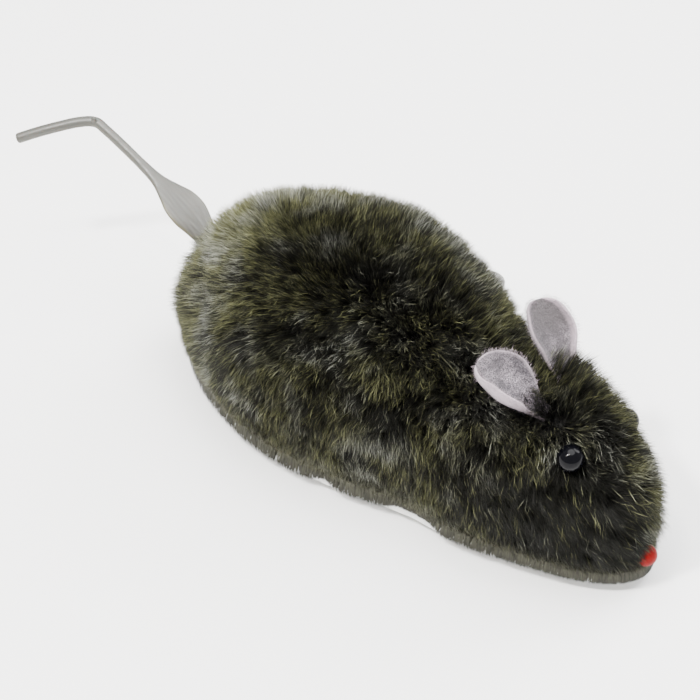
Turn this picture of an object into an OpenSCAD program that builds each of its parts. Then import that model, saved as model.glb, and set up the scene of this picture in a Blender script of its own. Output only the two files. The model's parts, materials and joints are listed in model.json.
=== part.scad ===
// Clockwork plush mouse: a furry coat over a moulded shell, on a flat base pan that carries
// a spring motor, two driven wheels behind and a roller in front.
// Frame: +X runs from the rump to the nose, +Y to the mouse's left, +Z up. The origin is on the
// flat underside of the base pan, midway between rump and nose. Lengths are in millimetres.

/* [Body] */
// Length of the coat from rump to nose
body_length = 122; // [100:1:150]
// Half width of the body at the haunches, fur included
body_half_width = 26.4; // [24:0.2:32]
// Height of the back above the floor, fur included
back_height = 51; // [46:0.5:62]
// Gap between the base pan and the floor
ground_clearance = 2; // [1.5:0.1:3]
// Thickness of the coat where the pile is full
pile_depth = 8; // [6:0.5:10]
// Thickness of the coat at its clipped hem
hem_thickness = 1.4; // [1:0.1:2]
// Wall of the moulded shell under the coat
shell_wall = 1.6; // [1:0.1:2]

/* [Base pan] */
// Thickness of the pan's floor
pan_floor = 2; // [1.6:0.1:3]
// How far the pan's edge stands in from the coat's edge
pan_inset = 0.3; // [0:0.1:1]
// Height of the spigot that the shell sits over, above the pan's floor
spigot_height = 2.5; // [1.5:0.5:4]
// Wall of the spigot
spigot_wall = 1.2; // [0.8:0.1:2]

/* [Wheels] */
// Diameter of a driven wheel over its tyre
rear_wheel_d = 18; // [15:0.5:22]
// Width of a driven wheel
rear_wheel_w = 4; // [3:0.1:5]
// Thickness of a tyre
tyre_t = 1.2; // [0.8:0.1:1.6]
// Distance from the rump to the rear axle
rear_axle_back = 29; // [27:0.5:35]
// Diameter of the front roller
front_wheel_d = 10; // [8:0.5:12]
// Width of the front roller
front_wheel_w = 5; // [4:0.1:6]
// Distance from the nose to the front axle
front_axle_back = 25; // [20:0.5:32]
// Diameter of both axles
axle_d = 2; // [1.6:0.1:2.4]

/* [Clockwork] */
// Module of all gear teeth
gear_module = 0.5; // [0.4:0.02:0.6]
// Teeth of the great gear on the spring's arbor
great_teeth = 40; // [36:1:48]
// Teeth of the intermediate wheel
middle_teeth = 36; // [32:1:42]
// Teeth of both pinions
pinion_teeth = 12; // [12:1:14]
// Thickness of a gear
gear_t = 1.2; // [1:0.1:1.5]
// Width of the mainspring's band
spring_w = 6; // [5:0.1:7.2]
// Thickness of the mainspring's band
spring_t = 0.25; // [0.2:0.01:0.3]
// Thickness of a motor plate
plate_t = 1; // [0.8:0.1:1.2]
// Diameter of the motor's pillars
pillar_d = 3; // [2.4:0.1:3.6]

/* [Winding key] */
// Diameter of the key's stem
key_stem_d = 6; // [5:0.1:7]
// Width of the key across its wings
key_span = 15; // [13:0.5:20]
// Thickness of the key's wings
key_t = 1.6; // [1.2:0.1:2]

/* [Tail] */
// Width of the tail's flat leaf
leaf_w = 9; // [7:0.5:11]
// Thickness of the tail's flat leaf
leaf_t = 1.5; // [1.2:0.1:2]
// Diameter of the tail's round part
tail_d = 2.2; // [1.8:0.1:2.8]
// Diameter of the boss that the tail turns on
tail_boss_d = 4; // [3:0.1:4.8]

/* [Face] */
// Diameter of an eye bead
eye_d = 5.4; // [4.4:0.1:6.6]
// Diameter of the nose bead
nose_d = 4.6; // [3.8:0.1:5.6]
// Length of an ear from its cut foot to its tip
ear_length = 17.5; // [15:0.5:21]
// Width of an ear
ear_width = 13; // [10:0.5:16]
// Thickness of the ear's felt
felt_t = 1; // [0.8:0.1:1.4]

/* [Fits] */
// Radial clearance of a turning fit
run_gap = 0.05; // [0.02:0.01:0.1]
// Gap between moulded pieces that sit together
seat_gap = 0.3; // [0.2:0.05:0.5]
// Gap beside a turning part that nothing may touch
side_gap = 0.8; // [0.5:0.1:1.2]

/* [Hidden] */
$fn = 48;
overcut = 1;

// ---- shape of the body ----
// Half width of the body along its length, as a share of body_half_width, before its ends are
// rounded in plan.
girth_stations = [[0, 1.1], [0.15, 1.1], [0.32, 1.065], [0.48, 0.92], [0.6, 0.8], [0.72, 0.83],
    [0.84, 0.8], [1, 0.81]];
// Height of the back along its length, as a share of back_height.
back_stations = [[0, 0.93], [0.15, 0.985], [0.35, 1], [0.5, 0.92], [0.62, 0.78], [0.74, 0.77],
    [0.86, 0.775], [1, 0.585]];
// Length of the rounded end at the rump and at the nose.
rump_round = 32;
nose_round = 6.5;
// Height above the floor of the body's widest line, at the haunches and at the nose.
haunch_z = 17.4;
nose_z = 10.4;
// Angle from the back down to the hem.
hem_angle = 120;
// Powers that make the section full or lean: at the rump, the haunches and the head.
rump_slope = 1.8;
haunch_fullness = 0.8;
head_fullness = 0.88;
// Angle at which the pile starts to shorten towards the hem.
clip_angle = 75;
around = 56;
down = 9;

floor_z = -ground_clearance;
half_length = body_length / 2;
shell_inset = seat_gap;

// Cubic curve through stations [position, value], with level ends.
function slope_at(s, i) = (i == 0 || i == len(s) - 1) ? 0
    : (s[i + 1][1] - s[i - 1][1]) / (s[i + 1][0] - s[i - 1][0]);
function span_of(s, u, i = 0) = (i >= len(s) - 2 || u <= s[i + 1][0]) ? i : span_of(s, u, i + 1);
function hermite(a, b, ma, mb, t) = a * (2 * pow(t, 3) - 3 * t * t + 1)
    + ma * (pow(t, 3) - 2 * t * t + t) + b * (3 * t * t - 2 * pow(t, 3)) + mb * (pow(t, 3) - t * t);
function in_span(s, u, i) = let (w = s[i + 1][0] - s[i][0])
    hermite(s[i][1], s[i + 1][1], slope_at(s, i) * w, slope_at(s, i + 1) * w, (u - s[i][0]) / w);
function through(s, u) = in_span(s, u, span_of(s, u));

function ramp(t) = let (c = min(1, max(0, t))) c * c * (3 - 2 * c);
function mix(a, b, t) = a + (b - a) * t;

// Height of the widest line at the share u of the length.
function belly_z(u) = floor_z + mix(haunch_z, nose_z, pow(max(0, (u - 0.45) / 0.55), 1.5));

// How deep the coat is at the angle phi down from the back.
function coat_depth(phi) = mix(hem_thickness, pile_depth,
    ramp((hem_angle - phi) / (hem_angle - clip_angle)));

// Point of the body at the angle a round its outline (0 at the rump, 180 at the nose) and the
// angle phi down from the back, with the surface taken in by d all over.
function skin(a, phi, d) =
    let (u = (1 - cos(a)) / 2)
    let (half = body_half_width * through(girth_stations, u) - d)
    let (top = floor_z + back_height * through(back_stations, u) - d)
    let (fullness = mix(haunch_fullness, head_fullness, min(1, max(0, (u - 0.5) / 0.3))))
    let (reach = pow(sin(phi), fullness))
    let (ridge_x = mix(-half_length + rump_round, half_length - nose_round, u))
    let (edge_x = -(half_length - d) * cos(a))
    let (belly = belly_z(u))
    let (lean = mix(rump_slope, fullness, min(1, u / 0.3)))
    let (above = (top - belly) * pow(max(0, cos(phi)), lean))
    let (rise = phi < 90 ? above : 2 * (belly - pan_floor) * cos(phi))
    [mix(ridge_x, edge_x, reach), -half * sin(a) * reach, belly + rise];

// The coat's outer surface, and surfaces at a distance inside its inner one.
function outer_point(a, phi) = skin(a, phi, 0);
function inner_point(a, phi, more) = skin(a, phi, coat_depth(phi) + more);

function ring_points(more, outside) = [for (j = [0:down]) for (i = [0:around - 1])
    let (a = 360 * i / around)
    let (phi = hem_angle * j / down)
    outside ? outer_point(a, phi) : inner_point(a, phi, more)];

// The two sides of the body share the points along the ridge of the back.
function id(i, j) = let (k = i % around) j * around + (j == 0 ? min(k, around - k) : k);
function side_faces(from, turned) = [for (j = [0:down - 1]) for (i = [0:around - 1])
    let (p = [id(i, j), id(i + 1, j), id(i + 1, j + 1), id(i, j + 1)])
    for (t = [[p[0], p[1], p[2]], [p[0], p[2], p[3]]])
    if (t[0] != t[1] && t[1] != t[2] && t[0] != t[2])
    turned ? [t[2] + from, t[1] + from, t[0] + from] : [t[0] + from, t[1] + from, t[2] + from]];
function hem_faces(from) = [for (i = [0:around - 1])
    let (a = id(i, down), b = id(i + 1, down))
    for (t = [[a, b, b + from], [a, b + from, a + from]]) t];

// A thin-walled dome between two surfaces, open at the bottom.
module dome(outer_points, inner_points) {
    n = len(outer_points);
    polyhedron(concat(outer_points, inner_points),
        concat(side_faces(0, true), side_faces(n, false), hem_faces(n)), convexity = 8);
}

// Outline of the body at the hem, taken in by d, seen from above.
function hem_outline(d) = [for (i = [0:around - 1])
    let (p = skin(360 * i / around, hem_angle, d)) [p[0], p[1]]];

// ---- layout of the clockwork, in the XZ plane ----
rear_x = -half_length + rear_axle_back;
rear_z = rear_wheel_d / 2 - ground_clearance;
front_x = half_length - front_axle_back;
front_z = front_wheel_d / 2 - ground_clearance;

function pitch_r(teeth) = gear_module * teeth / 2;
addendum = 0.8 * gear_module;
dedendum = 1.15 * gear_module;
great_r = pitch_r(great_teeth) + addendum;
middle_r = pitch_r(middle_teeth) + addendum;

first_lean = 40;
second_lean = 14;
middle_span = pitch_r(middle_teeth) + pitch_r(pinion_teeth);
great_span = pitch_r(great_teeth) + pitch_r(pinion_teeth);
middle_x = rear_x + middle_span * cos(first_lean);
middle_z = rear_z + middle_span * sin(first_lean);
arbor_x = middle_x + great_span * cos(second_lean);
arbor_z = middle_z + great_span * sin(second_lean);

// Layers across the motor, from its right plate to its left one.
layer_gap = 0.5;
click_t = 0.8;
inner_w = layer_gap + gear_t + side_gap + gear_t + 0.2 + click_t + layer_gap + spring_w + side_gap;
right_y = -inner_w / 2;
left_y = inner_w / 2;
middle_y = right_y + layer_gap;
great_y = middle_y + gear_t + side_gap;
click_y = great_y + gear_t + 0.2;
spring_y = click_y + click_t + layer_gap;

wheel_y = left_y + plate_t + 2.5;
wheel_out_y = wheel_y + rear_wheel_w;

arbor_d = 3;
middle_arbor_d = 1.5;
spring_core_d = 4.4;
spring_in_r = spring_core_d / 2 + 0.4;
spring_out_r = great_r - 1.2;
spring_turns = 8;
square_w = 2.2;
ratchet_r = 4.4;
ratchet_teeth = 12;
click_pivot_r = 7.6;

foot_z = pan_floor;
pillar_reach = great_r + 3.5;
hook_lean = 30;
front_foot_x = arbor_x + great_r + 2.7;
rear_foot_x = rear_x - 12.6;
foot_w = 4.4;
foot_out = 4.4;
foot_y = left_y + plate_t + foot_out / 2;
screw_d = 2;
screw_head_d = 3.8;
screw_head_h = 0.9;
nut_w = 4;
nut_h = 1.6;
pillars = [
    [rear_x - 8.6, rear_z - 2],
    [arbor_x + pillar_reach * cos(125), arbor_z + pillar_reach * sin(125)],
    [arbor_x + pillar_reach * cos(hook_lean), arbor_z + pillar_reach * sin(hook_lean)],
    [arbor_x + (pillar_reach + 3) * cos(317), arbor_z + (pillar_reach + 3) * sin(317)]];
rivet_d = 1.8;

// Key, outside the coat.
coat_side_y = body_half_width * through(girth_stations, (arbor_x + half_length) / body_length);
key_y = coat_side_y - 2.5;
key_stem_l = 5.6;
key_hole_d = key_stem_d + 2;

// Tail: where it turns, the way it leaves the body, and its route as round numbers.
tail_back = 15;
tail_x = -half_length + tail_back;
tail_z = 13.6;
tail_lift = 42;
tail_route = [[0, 0, 0, 2.6, 1.3], [-3.2, 0, 2.9, 2.6, 1.2], [-7, 0, 6.3, 2.5, 1.1],
    [-10.4, 0, 9.4, 2.7, 1], [-13.2, 0, 12, 3.6, 0.8], [-16, 0, 14.1, 4.4, 0.75],
    [-19, 0, 15.8, 4.3, 0.75], [-22, 0, 17.2, 3, 0.85], [-25.5, 0, 18.7, 1.6, 1],
    [-30, 0, 20.6, 1.15, 1.05], [-35, 0, 22.7, 1.1, 1.1], [-40, -0.1, 24.7, 1.1, 1.1],
    [-42.8, -0.4, 25.6, 1.15, 1.15], [-45.6, -2.4, 25.4, 1.15, 1.15], [-48.9, -5.6, 24.4, 1.15, 1.15],
    [-52.2, -8.8, 23.1, 1.15, 1.15], [-55.4, -12, 21.6, 1.15, 1.15]];
tail_sides = 12;
leaf_flat = [0.434, 0, 0.9];
cheek_in = 3.4;
cheek_t = 2.2;
cheek_r = 3.6;

// Eyes: angles round the outline and down from the back, and how deep the bead is set.
eye_a = 140.75;
function eye_phi(side) = side > 0 ? 52 : 40.5;
function eye_set(side) = side > 0 ? 1.6 : 0.5;
bead_pin_d = 1.4;
eye_pin_l = pile_depth + shell_wall + 1;
// Ears: the foot's place in the same way, the way from foot to tip and the way the ear faces.
function ear_a(side) = side > 0 ? 123.25 : 127.5;
function ear_phi(side) = side > 0 ? 16 : 18.5;
ear_set = 4;
ear_way = [-0.757, 0.38, 0.535];
ear_face = [0.6, 0, 0.8];
ear_cup = 2.6;
ear_rows = 12;
ear_cols = 10;
nose_x = half_length - 1.2;
nose_bead_z = 5.4;
nose_pin_l = 6;

function unit(v) = v / norm(v);

// ---- helpers ----
// A solid of the given drawing, from y to y + h across the body.
module across(x, z, y, h) {
    translate([x, y + h, z]) rotate([90, 0, 0]) linear_extrude(h) children();
}

module rod(x, z, y, h, d) {
    translate([x, y + h, z]) rotate([90, 0, 0]) cylinder(h = h, d = d);
}

// ---- coat, shell and pan ----
module key_passage(d) {
    rod(arbor_x, arbor_z, left_y + plate_t, body_half_width * 2, d);
}

module tail_passage(wide, tall) {
    translate([tail_x, 0, tail_z])
        rotate([0, tail_lift - 90, 0])
        translate([-tall / 2, -wide / 2, 3])
        cube([tall, wide, 40]);
}

function eye_place(side) = skin(-side * eye_a, eye_phi(side), eye_set(side));
function eye_way(side) =
    let (p = eye_place(side))
    let (q = skin(-side * eye_a, eye_phi(side) + 2, eye_set(side)))
    let (r = skin(-side * (eye_a + 2), eye_phi(side), eye_set(side)))
    -side * unit(cross(q - p, r - p));

// Turns +Z onto the direction v.
module face_to(v) {
    rotate([0, acos(v[2] / norm(v)), atan2(v[1], v[0])]) children();
}

module eye_pocket(side) {
    translate(eye_place(side)) {
        sphere(d = eye_d + 2 * seat_gap);
        face_to(eye_way(side)) cylinder(h = 12, d = eye_d + 2 * seat_gap);
        face_to(-eye_way(side)) cylinder(h = eye_pin_l + overcut, d = bead_pin_d);
    }
}

module nose_pocket() {
    translate([nose_x, 0, nose_bead_z]) {
        sphere(d = nose_d + 2 * seat_gap);
        face_to([-1, 0, 0]) cylinder(h = nose_pin_l + overcut, d = bead_pin_d);
    }
}

// Moves an ear's drawing to its foot and turns it along the ear.
module at_ear(side) {
    translate(skin(-side * ear_a(side), ear_phi(side), ear_set))
        multmatrix(ear_turn([ear_way[0], side * ear_way[1], ear_way[2]]))
        children();
}

module ear_pocket(side) {
    at_ear(side)
        translate([-ear_width / 2, -1.2, -seat_gap])
        cube([ear_width, felt_t + ear_cup + 1.2, ear_length]);
}

// Axes of an ear: across, out of its face, and along it.
function ear_turn(way) =
    let (z = unit(way))
    let (y = unit(ear_face - z * (ear_face * z)))
    let (x = cross(y, z))
    [[x[0], y[0], z[0], 0], [x[1], y[1], z[1], 0], [x[2], y[2], z[2], 0], [0, 0, 0, 1]];

module fur_coat() color([0.32, 0.33, 0.28]) {
    difference() {
        dome(ring_points(0, true), ring_points(0, false));
        key_passage(key_hole_d);
        tail_passage(8, 8.6);
        nose_pocket();
        for (side = [-1, 1]) {
            eye_pocket(side);
            ear_pocket(side);
        }
    }
}

module body_shell() color([0.86, 0.86, 0.84]) {
    difference() {
        dome(ring_points(shell_inset, false), ring_points(shell_inset + shell_wall, false));
        key_passage(key_stem_d + 1);
        tail_passage(7.4, 7.4);
        nose_pocket();
        for (side = [-1, 1]) eye_pocket(side);
    }
}

// Clears a wheel of width w, through the pan's floor and the spigot.
module wheel_slot(x, y, l, w) {
    h = pan_floor + spigot_height + 2 * overcut;
    translate([x, y, h / 2 - overcut]) cube([l, w + 2 * side_gap, h], center = true);
}

module wheel_slots() {
    reach = sqrt(pow(rear_wheel_d / 2, 2) - pow(rear_z - pan_floor, 2)) + side_gap + 0.4;
    for (side = [-1, 1])
        wheel_slot(rear_x, side * (wheel_y + rear_wheel_w / 2), 2 * reach, rear_wheel_w);
    wheel_slot(front_x, 0, front_wheel_d + 2 * side_gap, front_wheel_w);
}

module tail_cheek(y) {
    difference() {
        union() {
            rod(tail_x, tail_z, y, cheek_t, 2 * cheek_r);
            translate([tail_x - cheek_r, y, pan_floor - 0.5])
                cube([2 * cheek_r, cheek_t, tail_z - pan_floor + 0.5]);
        }
        rod(tail_x, tail_z, y - overcut, cheek_t + 2 * overcut, tail_boss_d + 2 * run_gap);
    }
}

lug_in = front_wheel_w / 2 + side_gap;
lug_t = 2;
module roller_lug(y) {
    difference() {
        translate([front_x - 2.5, y, pan_floor - 0.5]) cube([5, lug_t, front_z - pan_floor + 3]);
        rod(front_x, front_z, y - overcut, lug_t + 2 * overcut, axle_d);
    }
}

module foot_screws_at(z, h, d, fn = 48) {
    for (x = [rear_foot_x, front_foot_x]) for (side = [-1, 1])
        translate([x, side * foot_y, z]) cylinder(h = h, d = d, $fn = fn);
}

// Wall that the shell's hem sits around, broken where the motor's feet stand.
spigot_inset = hem_thickness + shell_wall + 2 * seat_gap + 0.8;
module spigot() {
    difference() {
        translate([0, 0, pan_floor - 0.5]) linear_extrude(spigot_height + 0.5) difference() {
            polygon(hem_outline(spigot_inset));
            polygon(hem_outline(spigot_inset + spigot_wall));
        }
        for (x = [rear_foot_x, front_foot_x])
            translate([x - foot_w / 2 - seat_gap, -body_half_width, pan_floor])
            cube([foot_w + 2 * seat_gap, 2 * body_half_width, spigot_height + overcut]);
    }
}

module base_pan() color([0.93, 0.93, 0.91]) {
    difference() {
        union() {
            linear_extrude(pan_floor) polygon(hem_outline(pan_inset));
            spigot();
            tail_cheek(cheek_in);
            tail_cheek(-cheek_in - cheek_t);
            roller_lug(lug_in);
            roller_lug(-lug_in - lug_t);
        }
        wheel_slots();
        foot_screws_at(-overcut, screw_head_h + 0.2 + overcut, screw_head_d + 0.4);
        foot_screws_at(0, pan_floor + overcut, screw_d + 0.2);
        rod(front_x, front_z, -lug_in - lug_t - overcut, 2 * (lug_in + lug_t + overcut), axle_d);
    }
}

// ---- ears, eyes, nose ----
// Half the ear's width at the share t of its length: narrow at the foot, round at the tip.
function ear_half(t) = ear_width / 2 * (0.45 + 0.55 * ramp(t / 0.45))
    * (t < 0.55 ? 1 : sqrt(max(0, 1 - pow((t - 0.55) / 0.45, 2))));
function ear_point(t, w, lift) =
    let (half = ear_half(t))
    [half * w, ear_cup * w * w * min(1, half * 2 / ear_width) + lift, ear_length * t];
function ear_points(lift) = [for (j = [0:ear_rows]) for (i = [0:ear_cols])
    ear_point(min(0.995, j / ear_rows), 2 * i / ear_cols - 1, lift)];
function ear_id(i, j) = j * (ear_cols + 1) + i;
function ear_sheet(from, turned) = [for (j = [0:ear_rows - 1]) for (i = [0:ear_cols - 1])
    let (p = [ear_id(i, j), ear_id(i + 1, j), ear_id(i + 1, j + 1), ear_id(i, j + 1)])
    for (t = [[p[0], p[1], p[2]], [p[0], p[2], p[3]]])
    turned ? [t[2] + from, t[1] + from, t[0] + from] : [t[0] + from, t[1] + from, t[2] + from]];
function ear_rim() = concat(
    [for (i = [0:ear_cols - 1]) [ear_id(i, 0), ear_id(i + 1, 0)]],
    [for (j = [0:ear_rows - 1]) [ear_id(ear_cols, j), ear_id(ear_cols, j + 1)]],
    [for (i = [ear_cols:-1:1]) [ear_id(i, ear_rows), ear_id(i - 1, ear_rows)]],
    [for (j = [ear_rows:-1:1]) [ear_id(0, j), ear_id(0, j - 1)]]);
function ear_wall(n) = [for (e = ear_rim())
    for (t = [[e[0], e[1], e[1] + n], [e[0], e[1] + n, e[0] + n]]) t];

module ear(side) color([0.66, 0.63, 0.66]) {
    n = (ear_rows + 1) * (ear_cols + 1);
    at_ear(side)
        polyhedron(concat(ear_points(0), ear_points(felt_t)),
            concat(ear_sheet(0, true), ear_sheet(n, false), ear_wall(n)), convexity = 4);
}

module eye(side) color([0.03, 0.03, 0.035]) {
    translate(eye_place(side)) {
        sphere(d = eye_d);
        face_to(-eye_way(side)) cylinder(h = eye_pin_l, d = bead_pin_d);
    }
}

module nose() color([0.78, 0.1, 0.08]) {
    translate([nose_x, 0, nose_bead_z]) {
        sphere(d = nose_d);
        face_to([-1, 0, 0]) cylinder(h = nose_pin_l, d = bead_pin_d);
    }
}

// ---- tail ----
// Ring of the tail at step k: an oval, wide across the leaf and thin through it.
function tail_at(k) = let (p = tail_route[k]) [tail_x + p[0], p[1], tail_z + p[2]];
function tail_along(k) =
    unit(tail_at(min(len(tail_route) - 1, k + 1)) - tail_at(max(0, k - 1)));
function tail_ring(k) =
    let (p = tail_route[k])
    let (wide = p[3] == max([for (q = tail_route) q[3]]) ? leaf_w / 2 : p[3])
    let (thick = p[3] > 3.5 ? leaf_t / 2 : (p[3] < 1.2 ? tail_d / 2 * p[4] / 1.1 : p[4]))
    let (across_way = unit(cross(leaf_flat, tail_along(k))))
    let (up_way = cross(tail_along(k), across_way))
    [for (i = [0:tail_sides - 1])
        let (g = 360 * i / tail_sides)
        tail_at(k) + across_way * wide * cos(g) + up_way * thick * sin(g)];
tail_last = len(tail_route) - 1;
function tail_skin() = concat(
    [for (k = [0:tail_last - 1]) for (i = [0:tail_sides - 1])
        let (a = k * tail_sides + i, b = k * tail_sides + (i + 1) % tail_sides)
        for (t = [[b, a, b + tail_sides], [b + tail_sides, a, a + tail_sides]]) t],
    [[for (i = [0:tail_sides - 1]) i]],
    [[for (i = [tail_sides - 1:-1:0]) tail_last * tail_sides + i]]);

module tail() color([0.72, 0.71, 0.66]) {
    polyhedron([for (k = [0:tail_last]) each tail_ring(k)], tail_skin(), convexity = 6);
    rod(tail_x, tail_z, -cheek_in - cheek_t, 2 * (cheek_in + cheek_t), tail_boss_d);
}

// ---- gears ----
function involute(angle) = tan(angle) * 180 / PI - angle;
pressure_angle = 25;
tooth_share = 0.44;
// Half the angle that a tooth fills at the radius r.
function half_tooth(teeth, r) =
    let (base = pitch_r(teeth) * cos(pressure_angle))
    let (at = r > base ? acos(base / r) : 0)
    180 * tooth_share / teeth + involute(pressure_angle) - involute(at);
function flank_radii(teeth) = [pitch_r(teeth) - dedendum, pitch_r(teeth) - 0.5 * dedendum,
    pitch_r(teeth) + 0.3 * addendum, pitch_r(teeth) + addendum];
function gear_outline(teeth) = [for (k = [0:teeth - 1])
    let (mid = 360 * k / teeth, rr = flank_radii(teeth))
    each concat(
        [for (r = rr) let (h = half_tooth(teeth, r)) [r * cos(mid - h), r * sin(mid - h)]],
        [for (q = [len(rr) - 1:-1:0]) let (r = rr[q], h = half_tooth(teeth, r))
            [r * cos(mid + h), r * sin(mid + h)]])];

// Turn of a gear that puts it in mesh with one of other_teeth teeth, turned by other_turn,
// seen from that other gear at the angle lean.
function mesh_turn(lean, other_turn, other_teeth, teeth) =
    lean + 180 - (other_turn - lean) * other_teeth / teeth - 180 / teeth;
axle_pinion_turn = 0;
middle_turn = mesh_turn(first_lean, axle_pinion_turn, pinion_teeth, middle_teeth);
great_turn = mesh_turn(second_lean, middle_turn, pinion_teeth, great_teeth);

module gear(teeth, turn, x, z, y, h, bore) {
    difference() {
        across(x, z, y, h) rotate(turn) polygon(gear_outline(teeth));
        rod(x, z, y - overcut, h + 2 * overcut, bore);
    }
}

module great_gear() color([0.83, 0.68, 0.35]) {
    difference() {
        gear(great_teeth, great_turn, arbor_x, arbor_z, great_y, gear_t, arbor_d + 2 * run_gap);
        click_rivet_hole(great_y, gear_t);
    }
}

module intermediate_wheel() color([0.83, 0.68, 0.35]) {
    gear(middle_teeth, middle_turn, middle_x, middle_z, middle_y, gear_t, middle_arbor_d);
}

module intermediate_pinion() color([0.7, 0.7, 0.72]) {
    gear(pinion_teeth, middle_turn, middle_x, middle_z, middle_y + gear_t,
        side_gap + gear_t + 0.3, middle_arbor_d);
}

module axle_pinion() color([0.7, 0.7, 0.72]) {
    gear(pinion_teeth, axle_pinion_turn, rear_x, rear_z, middle_y - 0.2, gear_t + 0.4, axle_d);
}

module intermediate_arbor() color([0.75, 0.75, 0.77]) {
    rod(middle_x, middle_z, right_y - plate_t - 0.4, inner_w + 2 * plate_t + 0.8, middle_arbor_d);
}

// ---- spring, arbor, click ----
module winding_arbor() color([0.75, 0.75, 0.77]) {
    rod(arbor_x, arbor_z, right_y - plate_t - 0.4, spring_y - right_y + plate_t + 0.4, arbor_d);
    rod(arbor_x, arbor_z, spring_y, spring_w, spring_core_d);
    rod(arbor_x, arbor_z, spring_y + spring_w, key_y - spring_y - spring_w, arbor_d);
    translate([arbor_x - square_w / 2, key_y, arbor_z - square_w / 2])
        cube([square_w, key_stem_l - 1, square_w]);
}

// The spring is a band wound in a spiral, with its outer end led to a pillar.
function spiral(side) = [for (k = [0:20 * spring_turns])
    let (t = k / (20 * spring_turns), g = hook_lean - 360 * spring_turns * (1 - t))
    let (r = mix(spring_in_r, spring_out_r, t) + side * spring_t / 2)
    [r * cos(g), r * sin(g)]];
module mainspring() color([0.35, 0.38, 0.45]) {
    lead = [cos(hook_lean), sin(hook_lean)];
    back = spring_t * [sin(hook_lean), -cos(hook_lean)];
    start = lead * (spring_out_r - spring_t / 2);
    end = lead * (pillar_reach - pillar_d / 2 - 0.1);
    across(arbor_x, arbor_z, spring_y, spring_w) {
        inside = spiral(-1);
        outside = spiral(1);
        polygon(concat(outside, [for (k = [len(inside) - 1:-1:0]) inside[k]]));
        polygon([start + back, end + back, end, start]);
    }
}

function ratchet_outline() = [for (k = [0:ratchet_teeth - 1])
    let (g = 360 * k / ratchet_teeth)
    each [[(ratchet_r - 0.9) * cos(g), (ratchet_r - 0.9) * sin(g)],
        [ratchet_r * cos(g), ratchet_r * sin(g)]]];
module ratchet_wheel() color([0.7, 0.7, 0.72]) {
    difference() {
        across(arbor_x, arbor_z, click_y, click_t) polygon(ratchet_outline());
        rod(arbor_x, arbor_z, click_y - overcut, click_t + 2 * overcut, arbor_d);
    }
}

// The click lies on the great gear's face, with its tip against a tooth of the ratchet wheel.
click_lean = 18;
click_pivot = click_pivot_r * [cos(click_lean), sin(click_lean)];
click_d = 3;
click_tip = [(ratchet_r - 0.78) * cos(58), (ratchet_r - 0.78) * sin(58)];
click_heel = [ratchet_r * cos(58.4), ratchet_r * sin(58.4)];
module click_rivet_hole(y, h) {
    rod(arbor_x + click_pivot[0], arbor_z + click_pivot[1], y - overcut, h + 2 * overcut, rivet_d);
}

module click() color([0.7, 0.7, 0.72]) {
    difference() {
        union() {
            rod(arbor_x + click_pivot[0], arbor_z + click_pivot[1], click_y, click_t, click_d);
            across(arbor_x, arbor_z, click_y, click_t)
                polygon([click_tip, click_pivot + [-1.33, -0.45], click_pivot + [0.4, 1.4], click_heel]);
        }
        click_rivet_hole(click_y, click_t);
    }
}

module click_rivet() color([0.75, 0.75, 0.77]) {
    rod(arbor_x + click_pivot[0], arbor_z + click_pivot[1], great_y, gear_t + click_t + 0.2, rivet_d);
}

module click_spring() color([0.35, 0.38, 0.45]) {
    across(arbor_x, arbor_z, great_y + gear_t, click_t + 0.2)
        polygon([[1.2, 7.4], [1.2, 8.3], [2.7, 8.3], [5.3, 4.3], [5, 4], [4.75, 4.2], [2.3, 7.4]]);
}

// ---- motor frame ----
module plate_outline() {
    polygon([[rear_foot_x - foot_w / 2 - 0.4, foot_z], [rear_foot_x - foot_w / 2 - 0.4, foot_z + 5.5],
        [rear_x - 12, rear_z + 3], [rear_x - 3, middle_z + 5.5],
        [middle_x - 1, middle_z + middle_r + 6], [arbor_x - 5, arbor_z + great_r + 4.5],
        [pillars[2][0] + 1, pillars[2][1] + 3], [pillars[2][0] + 3, pillars[2][1]],
        [front_foot_x + foot_w / 2 + 0.4, arbor_z - 5], [front_foot_x + foot_w / 2 + 0.4, foot_z]]);
}

// A plate with its two feet: side 1 is the left plate and -1 the right one.
module motor_plate(side) color([0.78, 0.78, 0.8]) {
    y = side > 0 ? left_y : right_y - plate_t;
    foot_l = foot_out + plate_t / 2;
    foot_start = side > 0 ? left_y + plate_t / 2 : right_y - plate_t / 2 - foot_l;
    difference() {
        union() {
            across(0, 0, y, plate_t) plate_outline();
            for (x = [rear_foot_x, front_foot_x])
                translate([x - foot_w / 2, foot_start, foot_z]) cube([foot_w, foot_l, plate_t]);
        }
        rod(rear_x, rear_z, y - overcut, plate_t + 2 * overcut, axle_d + 2 * run_gap);
        rod(middle_x, middle_z, y - overcut, plate_t + 2 * overcut, middle_arbor_d + 2 * run_gap);
        rod(arbor_x, arbor_z, y - overcut, plate_t + 2 * overcut, arbor_d + 2 * run_gap);
        for (p = pillars) rod(p[0], p[1], y - overcut, plate_t + 2 * overcut, rivet_d);
        foot_screws_at(foot_z - overcut, plate_t + 2 * overcut, screw_d);
    }
}

module motor_plate_left() motor_plate(1);
module motor_plate_right() motor_plate(-1);

module motor_pillars() color([0.75, 0.75, 0.77]) {
    for (p = pillars) {
        rod(p[0], p[1], right_y, inner_w, pillar_d);
        rod(p[0], p[1], right_y - plate_t - 0.4, inner_w + 2 * plate_t + 0.8, rivet_d);
    }
}

module motor_screws() color([0.75, 0.75, 0.77]) {
    foot_screws_at(0.2, screw_head_h, screw_head_d);
    foot_screws_at(0.2, pan_floor + plate_t + nut_h + 0.3, screw_d);
}

module motor_nuts() color([0.72, 0.72, 0.74]) {
    difference() {
        foot_screws_at(foot_z + plate_t, nut_h, nut_w / cos(30), 6);
        foot_screws_at(foot_z, plate_t + nut_h + overcut, screw_d);
    }
}

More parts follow.
